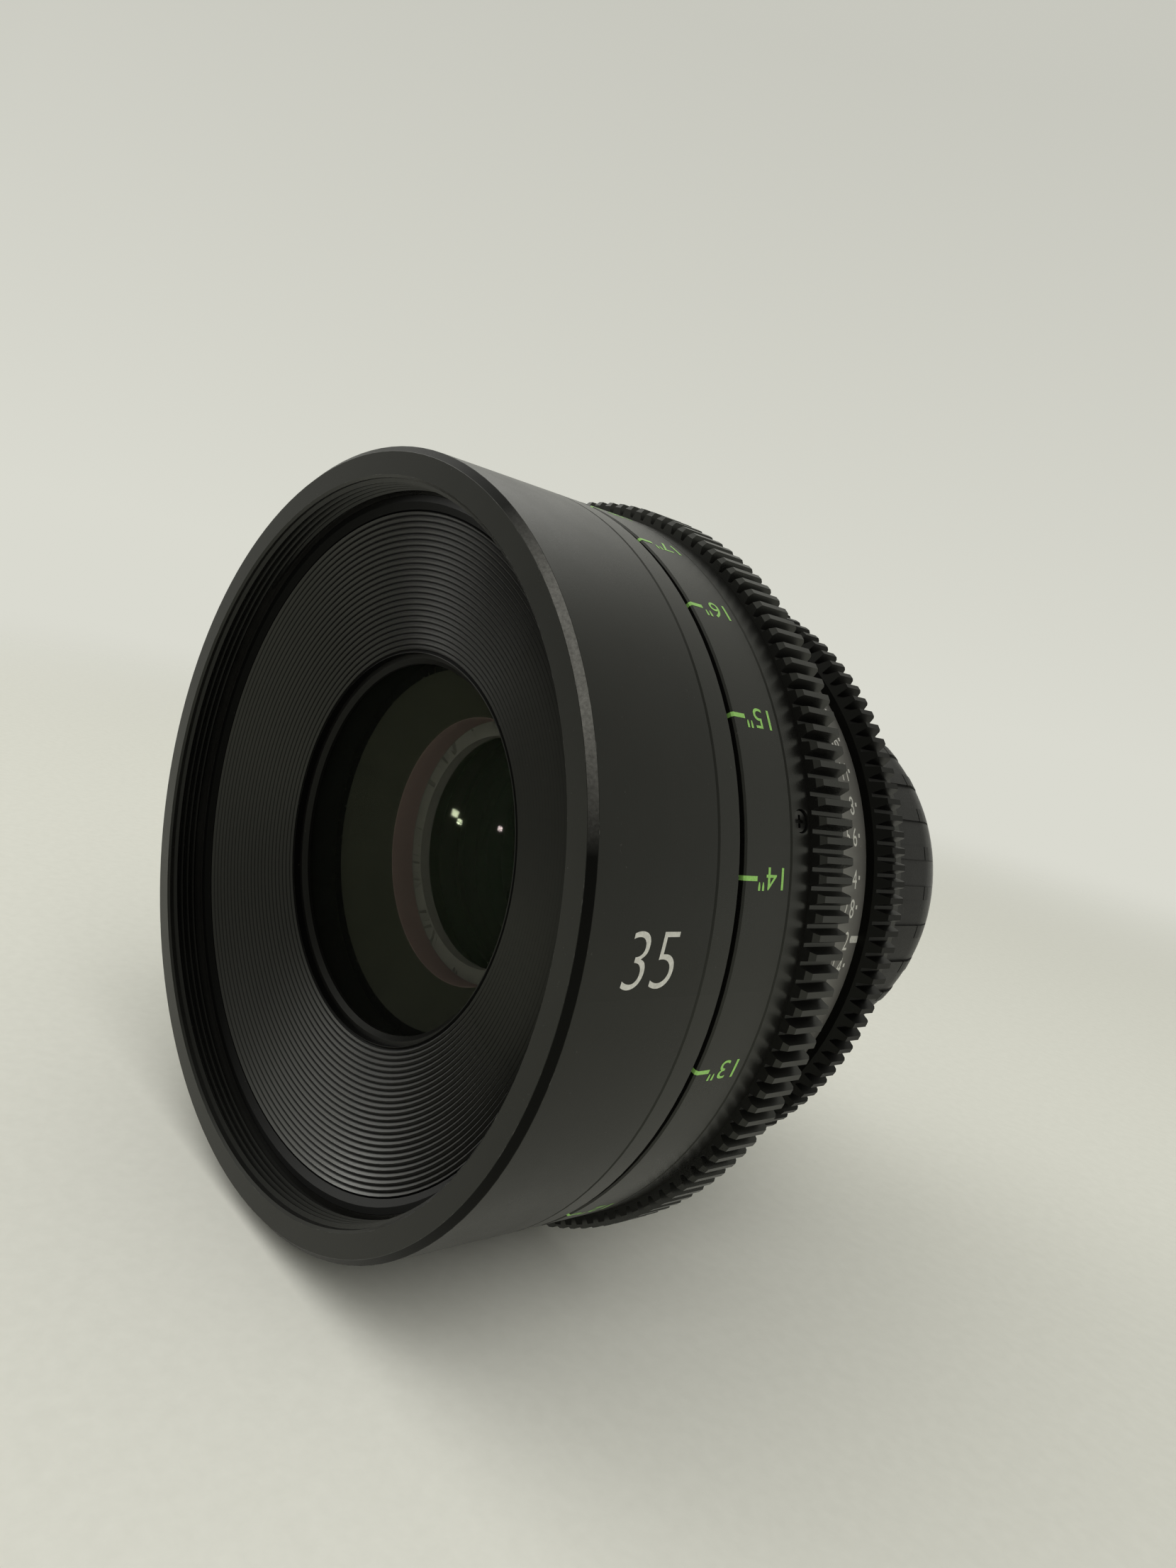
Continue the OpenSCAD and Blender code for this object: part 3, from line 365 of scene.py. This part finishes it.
# Finishes of the record's slots
SLOT_FINISH = {
    "black_anodised": anodised("black_anodised", dark=0.007, light=0.011, rough=0.31, gloss=0.31),
    "grey_anodised": anodised("grey_anodised", dark=0.13, light=0.17, rough=0.34),
    "matt_black": anodised("matt_black_anodised", dark=0.005, light=0.008, rough=0.42,
                           turned=0.006, grain=0.006),
    "steel": metal("ground_steel", dark=(0.5, 0.49, 0.47, 1.0), light=(0.64, 0.63, 0.61, 1.0),
                   rough=0.27, line_depth=0.006),
    "dark_steel": metal("blackened_steel", dark=(0.05, 0.05, 0.05, 1.0), light=(0.085, 0.084, 0.08, 1.0),
                        rough=0.36, line_depth=0.004),
    "brass": metal("turned_brass", dark=(0.55, 0.39, 0.15, 1.0), light=(0.68, 0.5, 0.22, 1.0),
                   rough=0.3, line_depth=0.008),
    "black_plastic": plastic("cap_plastic", dark=0.009, light=0.013, dome_s=DOME_S, dome_painted_reflection=0.05),
}

# Finishes of nodes that differ from their slot
NODE_FINISH = {
    # The nose's bevel carries painted shade and a painted highlight; its edges carry wear
    "front_barrel": anodised("nose_black_anodised", dark=0.007, light=0.011, rough=0.32, gloss=0.25,
                             worn_edges=[(BARREL_R, NOSE_BEVEL), (BARREL_R - NOSE_BEVEL, 0.0),
                                         (THREAD_R + THREAD_LEAD, 0.0)],
                             bevel=(BARREL_R - NOSE_BEVEL + BEVEL_MARGIN, NOSE_BEVEL - BEVEL_MARGIN)),
    "front_baffle": ribbed_black("ribbed_black_anodised", RIB_OUTER_R, RIB_PITCH, MOUTH_S),
    "front_group_cell": lens_cell("front_cell_painted_reflections", CELL_SEAT_S, CELL_WALL_S, CELL_STEP_S),
    "front_retaining_ring": anodised("retainer_black", dark=0.004, light=0.007, rough=0.45,
                                     turned=0.01, grain=0.0, gloss=0.12),
    # Painted shade: the sleeve between the gears is painted a deeper black
    "mid_barrel": anodised("sleeve_painted_shade_black", dark=0.003, light=0.005, rough=0.5, gloss=0.05),
    # Painted shade: the iris gear is painted a deeper black than the barrel
    "iris_gear": anodised("gear_painted_shade_black", dark=0.0025, light=0.004, rough=0.34, gloss=0.1),
}
# Tint and density of the coating on each glass; the density also sets how strong the painted sheen is
GLASS_FILMS = {
    "front_element": ((0.85, 1.0, 0.6, 1.0), 0.005),
    "second_element": ((1.0, 0.8, 0.8, 1.0), 0.006),
    "third_element": ((0.2, 1.0, 0.35, 1.0), 0.014),
    "focus_front_element": ((0.2, 1.0, 0.4, 1.0), 0.012),
    "focus_rear_element": ((1.0, 0.65, 0.85, 1.0), 0.01),
    "rear_group_front_element": ((0.55, 1.0, 0.65, 1.0), 0.03),
    "rear_group_middle_element": ((0.85, 0.65, 1.0, 1.0), 0.03),
    "rear_element": ((0.6, 0.8, 1.0, 1.0), 0.04),
}
for glass, (tint, film) in GLASS_FILMS.items():
    NODE_FINISH[glass] = coated_glass(glass + "_coating", tint, film)
cell_black = anodised("cell_black_paint", dark=0.0025, light=0.004, rough=0.75,
                      turned=0.0, grain=0.0, gloss=0.08)
for cell in ("focus_cell", "rear_group_cell", "iris_housing", "iris_drive_ring", "iris_cover_ring",
             "main_barrel", "focus_retaining_ring", "rear_retaining_ring"):
    NODE_FINISH[cell] = cell_black
# Painted light: the blades are painted paler than blackened steel, in place of light inside the lens
blade_steel_painted_light = metal("blade_steel_painted_light", dark=(0.15, 0.15, 0.145, 1.0), light=(0.22, 0.22, 0.21, 1.0),
                    rough=0.4, line_depth=0.003)
for name in nodes:
    if name.startswith("iris_blade"):
        NODE_FINISH[name] = blade_steel_painted_light

# Every node gets its own finish, or else that of its slot
for part in frame["record"]["subparts"]:
    name = part["node"]
    mesh = nodes[name].data
    mesh.materials.clear()
    mesh.materials.append(NODE_FINISH.get(name) or SLOT_FINISH[part["material_slot"]])

white_paint = paint("white_filling", (0.88, 0.87, 0.82, 1.0), rough=0.5)
green_paint = paint("green_filling", (0.42, 0.85, 0.2, 1.0), rough=0.5)


class Marks:
    """Flat marks, laid out in mm and wrapped on a cylinder round the lens axis. Angles are in degrees."""

    # A mark is cut into strips of this width, so that it follows the curve
    STRIP = 0.7

    def __init__(self, radius):
        self.radius = radius + PAINT_PROUD
        self.verts = []
        self.faces = []

    def wrap(self, flat, s, angle, side=1):
        """Adds a flat bmesh, its x along the axis and its y round it. A side of -1 turns it half round."""
        heights = [v.co.y for v in flat.verts]
        cut = min(heights) + self.STRIP
        while cut < max(heights):
            geometry = flat.verts[:] + flat.edges[:] + flat.faces[:]
            bmesh.ops.bisect_plane(flat, geom=geometry, plane_co=(0, cut, 0), plane_no=(0, 1, 0))
            cut += self.STRIP
        flat.verts.index_update()
        base = len(self.verts)
        for v in flat.verts:
            turn = math.radians(angle) + side * v.co.y / self.radius
            self.verts.append(around_axis(self.radius, s + side * v.co.x, turn))
        for f in flat.faces:
            self.faces.append([base + v.index for v in f.verts])
        flat.free()

    def bar(self, s, angle, length, width):
        """Bar centred at s, its length along the axis."""
        flat = bmesh.new()
        corners = [(-length / 2, -width / 2), (length / 2, -width / 2), (length / 2, width / 2),
                   (-length / 2, width / 2)]
        flat.faces.new([flat.verts.new((x, y, 0)) for x, y in corners])
        self.wrap(flat, s, angle)

    def over_edge(self, angle, width, points):
        """Bar that runs over an edge, through points of radius and s."""
        base = len(self.verts)
        half = width / 2 / self.radius
        for r, s in points:
            for a in (math.radians(angle) - half, math.radians(angle) + half):
                self.verts.append(around_axis(r, s, a))
        for i in range(base, base + 2 * len(points) - 2, 2):
            self.faces.append((i, i + 1, i + 3, i + 2))

    def dot(self, s, angle, size):
        flat = bmesh.new()
        bmesh.ops.create_circle(flat, cap_ends=True, radius=size / 2, segments=20)
        self.wrap(flat, s, angle)

    def text(self, body, s, angle, height, width, shear=0.0, thin=0.0, anchor="CENTER", flip=False):
        """A line of text along the axis. flip turns it half round, so that it reads towards the front."""
        curve = bpy.data.curves.new("line", "FONT")
        curve.body = body
        curve.shear = shear
        curve.offset = -thin
        holder = bpy.data.objects.new("line", curve)
        scene.collection.objects.link(holder)
        depsgraph = bpy.context.evaluated_depsgraph_get()
        mesh = bpy.data.meshes.new_from_object(holder.evaluated_get(depsgraph))
        flat = bmesh.new()
        flat.from_mesh(mesh)
        for item, store in ((holder, bpy.data.objects), (curve, bpy.data.curves), (mesh, bpy.data.meshes)):
            store.remove(item)
        xs = [v.co.x for v in flat.verts]
        ys = [v.co.y for v in flat.verts]
        size = height / (max(ys) - min(ys))
        start = {"RIGHT": max(xs), "CENTER": (min(xs) + max(xs)) / 2}[anchor]
        for v in flat.verts:
            v.co.x = (v.co.x - start) * size * width
            v.co.y = (v.co.y - (min(ys) + max(ys)) / 2) * size
        self.wrap(flat, s, angle, -1 if flip else 1)

    def piece(self, name, body, material):
        new_piece(name, self.verts, self.faces, material, body)


# Distance scale: places of infinity and of the other marks, whose distances are from the sensor
INFINITY_ANGLE = 235.5
SCALE_TURN = 2121.8
SCALE_START = 4.4
INCH_MARKS = (12, 13, 14, 15, 16, 17, 18, 20, 22)
FOOT_MARKS = (2, 2.5, 3, 4, 5, 7, 10, 20)


def distance_angle(inches):
    """Angle in degrees of a distance mark. The marks crowd towards infinity."""
    return INFINITY_ANGLE - SCALE_TURN / (inches - SCALE_START)


def distance_scale():
    """Ticks that run over the front edge of the distance scale, with a number behind each."""
    front_s = 25.77
    edge = 0.24
    tick_depth = 1.0
    tick_w = 0.62
    tick_end_s = 28.2
    label_s = 28.45
    label_h = 2.95
    tick_path = [(BARREL_R - tick_depth, front_s - PAINT_PROUD), (BARREL_R - edge, front_s - PAINT_PROUD),
                 (BARREL_R + PAINT_PROUD, front_s + edge), (BARREL_R + PAINT_PROUD, tick_end_s)]
    marks = Marks(BARREL_R)
    labels = [(inches, f'{inches}"') for inches in INCH_MARKS]
    labels += [(12 * feet, f"{feet}'") for feet in FOOT_MARKS]
    for inches, label in labels:
        angle = distance_angle(inches)
        marks.over_edge(angle, tick_w, tick_path)
        marks.text(label, label_s, angle, label_h, width=1.1, anchor="RIGHT", flip=True)
    marks.over_edge(INFINITY_ANGLE, tick_w, tick_path)
    # The sign for infinity is two dots
    dot = 1.5
    dots_s = label_s + 1.6
    for side in (-1, 1):
        marks.dot(dots_s + side * dot / 2, INFINITY_ANGLE, dot)
    marks.piece("distance_scale_marks", "focus_ring", green_paint)


def focal_length():
    """Focal length in mm, on the side of the front barrel."""
    marks = Marks(BARREL_R)
    marks.text("35", s=11.1, angle=4.6, height=6.8, width=0.92, shear=0.12, thin=0.014)
    marks.piece("focal_length_number", "barrel", white_paint)


def focus_index():
    """Line on the fixed ring, at which the distance is read."""
    marks = Marks(BARREL_R)
    marks.bar(s=22.75, angle=193.0, length=3.4, width=0.5)
    marks.piece("focus_index_mark", "barrel", white_paint)


def iris_scale():
    """Stops with a short tick each, and a broad bar at the stop that is set."""
    stop_s = 64.2
    number_h = 2.9
    number_drop = 0.3
    set_angle = 3.6
    stops = [(-1.4, "1.4"), (set_angle, "2"), (9.6, "2.8"), (15.0, "4"), (22.7, "5.6"), (28.5, "8"),
             (35.0, "11"), (41.5, "16"), (48.0, "22")]
    marks = Marks(IRIS_R)
    for angle, stop in stops:
        marks.text(stop, stop_s, angle - number_drop, number_h, width=0.58, anchor="RIGHT")
        marks.bar(stop_s + 0.6, angle, length=0.4, width=0.6)
    marks.bar(stop_s + 1.6, set_angle, length=2.2, width=1.1)
    marks.piece("iris_scale_marks", "iris_ring", white_paint)


def front_thread():
    """Turns of the filter thread, standing inwards from its bore."""
    pitch = 1.0
    start_s = 0.85
    end_s = 5.25
    depth = 0.55
    sunk = 0.02
    crest_half = 0.07
    root_half = 0.46
    steps_per_turn = 180
    run_out_steps = 20
    profile = [(0.0, -root_half), (depth, -crest_half), (depth, crest_half), (0.0, root_half)]
    steps = round((end_s - start_s) / pitch * steps_per_turn)
    verts = []
    faces = []
    for i in range(steps + 1):
        rise = min(1.0, i / run_out_steps, (steps - i) / run_out_steps)
        middle_s = start_s + pitch * i / steps_per_turn
        for height, offset in profile:
            r = THREAD_R + sunk - (height + sunk) * rise
            verts.append(around_axis(r, middle_s + offset, 2 * math.pi * i / steps_per_turn))
    row = len(profile)
    for i in range(steps):
        for a in range(i * row, i * row + row - 1):
            faces.append((a, a + 1, a + row + 1, a + row))
    thread_black = anodised("thread_black_anodised", dark=0.003, light=0.005, rough=0.34,
                            turned=0.0, gloss=0.2)
    new_piece("front_thread_turns", verts, faces, thread_black, "barrel")


def cap_grip():
    """The cap's ribs, run out over the edge of its dome: a thin skin that sinks into the dome."""
    corner = 12.0
    rib_h = 0.45
    start_s = 105.6
    end_s = 110.7
    sunk = 0.1
    end_height = 0.1
    arc_steps = 10
    ribs = 30
    # Turn and half width of a rib, and step of the mesh round the cap, in degrees
    rib_turn = -1.2
    rib_half = 2
    step = 2
    centre_r = CAP_R - 2 * rib_h - corner
    centre_s = CAP_END_S - corner
    end_angle = math.asin((end_s - centre_s) / corner)

    def profile(proud):
        outer = [(centre_r + corner + proud, start_s)]
        for i in range(arc_steps + 1):
            share = i / arc_steps
            reach = corner + proud * (1 - (1 - end_height) * share)
            a = end_angle * share
            outer.append((centre_r + reach * math.cos(a), centre_s + reach * math.sin(a)))
        under = corner - sunk
        last = (centre_r + under * math.cos(end_angle), centre_s + under * math.sin(end_angle))
        return [(centre_r + under, start_s)] + outer + [last]

    pitch = 360 // ribs
    rows = []
    for i in range(ribs):
        middle = rib_turn + i * pitch
        rows += [(middle + a, 2 * rib_h) for a in range(-rib_half, rib_half + 1, step)]
        rows += [(middle + a, rib_h) for a in range(rib_half, pitch - rib_half + 1, step)]
    verts = []
    faces = []
    for angle, proud in rows:
        verts += [around_axis(r, s, math.radians(angle)) for r, s in profile(proud)]
    count = len(profile(0))
    for i in range(len(rows)):
        here = i * count
        after = (i + 1) % len(rows) * count
        faces += [(here + j, here + j + 1, after + j + 1, after + j) for j in range(count - 1)]
    mesh = new_piece("cap_grip_ribs", verts, faces, SLOT_FINISH["black_plastic"], "rear_cap")
    mesh.shade_smooth()
    mesh.set_sharp_from_angle(angle=math.radians(25))


distance_scale()
focal_length()
focus_index()
iris_scale()
front_thread()
cap_grip()

# Studio: pale floor that fades into a pale surround, and soft lamps for the lens, its front and the floor
PALE = (0.7, 0.7, 0.63, 1.0)
LAMP_WHITE = (1.0, 0.99, 0.96)


def floor():
    """Round sheet of pale paper under the lens. It fades out between two distances, in mm."""
    fade_start = 250.0
    fade_end = 900.0
    mesh = bpy.data.meshes.new("floor")
    flat = bmesh.new()
    bmesh.ops.create_circle(flat, cap_ends=True, radius=2.5, segments=96)
    flat.to_mesh(mesh)
    flat.free()
    obj = bpy.data.objects.new("floor", mesh)
    obj.location = (0, 0, FLOOR_Z)
    scene.collection.objects.link(obj)
    finish = Finish("pale_paper", {"Roughness": 0.9, "Specular IOR Level": 0.1})
    fibres = finish.noise(finish.place(), scale=0.4, detail=4.0)
    distance = finish.add("VectorMath", {0: finish.place()}, operation="LENGTH").outputs["Value"]
    finish.set({"Base Color": finish.mix(finish.spread(fibres, 0.0, 1.0),
                                         (0.81, 0.81, 0.75, 1.0), (0.84, 0.84, 0.78, 1.0)),
                "Alpha": finish.spread(distance, 1.0, 0.0, fade_start, fade_end,
                                       interpolation_type="SMOOTHERSTEP")})
    mesh.materials.append(finish.material)
    return obj


def lamp(name, place, target, size, power, lit=None):
    """Area lamp, in metres and watts. Its light is kept to the lit objects, as by a screen."""
    data = bpy.data.lights.new(name, "AREA")
    data.shape = "RECTANGLE"
    data.size, data.size_y = size
    data.energy = power
    data.color = LAMP_WHITE
    obj = bpy.data.objects.new(name, data)
    obj.location = place
    obj.rotation_euler = (Vector(target) - Vector(place)).to_track_quat("-Z", "Y").to_euler()
    scene.collection.objects.link(obj)
    if lit:
        receivers = bpy.data.collections.new(name + "_lights")
        for receiver in lit:
            receivers.objects.link(receiver)
        obj.light_linking.receiver_collection = receivers
    return obj


def lamps():
    """Floor and lamps. Each lamp has its place, what it points at, its width and height, and its power."""
    lens = [obj for obj in scene.objects if obj.type == "MESH"]
    paper = [floor()]
    cone = [nodes["front_baffle"]]
    cell = [nodes["front_group_cell"]]
    glasses = [nodes[name] for name in GLASS_FILMS]
    lens_middle = (0.03, -0.03, 0.0)
    lamp("key_lamp", (-0.45, 0.0, 1.1), (0.0, -0.04, 0.0), (1.8, 1.8), 6.5, lit=lens)
    lamp("floor_lamp", (-0.55, -0.75, 1.1), lens_middle, (1.5, 1.5), 4.8, lit=paper)
    lamp("room_lamp", (0.85, -0.45, 1.1), lens_middle, (1.2, 1.2), 9.0, lit=paper)
    lamp("front_lamp", (-0.9, -0.55, 0.75), (0.0, -0.06, 0.0), (0.9, 0.7), 1.9)
    lamp("cone_lamp", (-0.9, -0.58, 0.12), (0.0, -0.09, 0.0), (0.8, 0.3), 10.0, lit=cone)
    lamp("cell_lamp", (0.75, -0.7, 0.2), (0.0, -0.07, 0.0), (0.3, 0.3), 1.2, lit=cell)
    glint = lamp("window_glint", (-0.58, -0.94, -0.04), (0.0, -0.06, 0.0), (0.035, 0.022), 4.5, lit=glasses)
    glint.visible_diffuse = False


def surround():
    """Pale to camera, glossy and transmission rays, less so in front of the lens; dimmer to diffuse rays."""
    world = bpy.data.worlds.new("surround")
    world.use_nodes = True
    make = NodeMaker(world.node_tree)
    towards = make.add("TexCoord", {}).outputs["Generated"]
    xyz = make.add("SeparateXYZ", {0: towards}).outputs
    by_height = make.spread(xyz[2], 1.0, 0.82, start=0.0, end=0.45)
    from_front = make.spread(xyz[1], 0.72, 1.0, start=-0.6, end=0.2)
    backdrop = make.math("MULTIPLY", by_height, from_front)
    brighter_way = Vector((0.35, 0.7, 0.6)).normalized()
    facing = make.add("VectorMath", {0: towards, 1: brighter_way}, operation="DOT_PRODUCT").outputs["Value"]
    for_diffuse = make.spread(facing, 0.42, 0.62, start=-1.0, end=1.0)
    rays = make.add("LightPath", {}).outputs
    shown = rays["Is Camera Ray"]
    for ray in ("Is Glossy Ray", "Is Transmission Ray"):
        shown = make.math("MAXIMUM", shown, rays[ray])
    background = world.node_tree.nodes["Background"]
    make.feed(background.inputs["Color"], PALE)
    strength = make.add("Mix", {0: shown, 2: for_diffuse, 3: backdrop}).outputs[0]
    make.feed(background.inputs["Strength"], strength)
    scene.world = world


def photo_view():
    """Camera at the place and angle that the photograph was taken from."""
    data = bpy.data.cameras.new("photo_view")
    data.sensor_width = 36.0
    data.lens = 25.49
    data.clip_start = 0.005
    camera = bpy.data.objects.new("photo_view", data)
    right = (0.6416, 0.7284, 0.2410)
    up = (-0.2632, -0.0862, 0.9611)
    back = (0.7208, -0.6798, 0.1364)
    pose = Matrix((right, up, back)).transposed().to_4x4()
    pose.translation = Vector((137.3, -174.5, 39.1)) * MM
    camera.matrix_world = pose
    scene.collection.objects.link(camera)
    scene.camera = camera


lamps()
surround()
scene.view_settings.view_transform = "Standard"
photo_view()
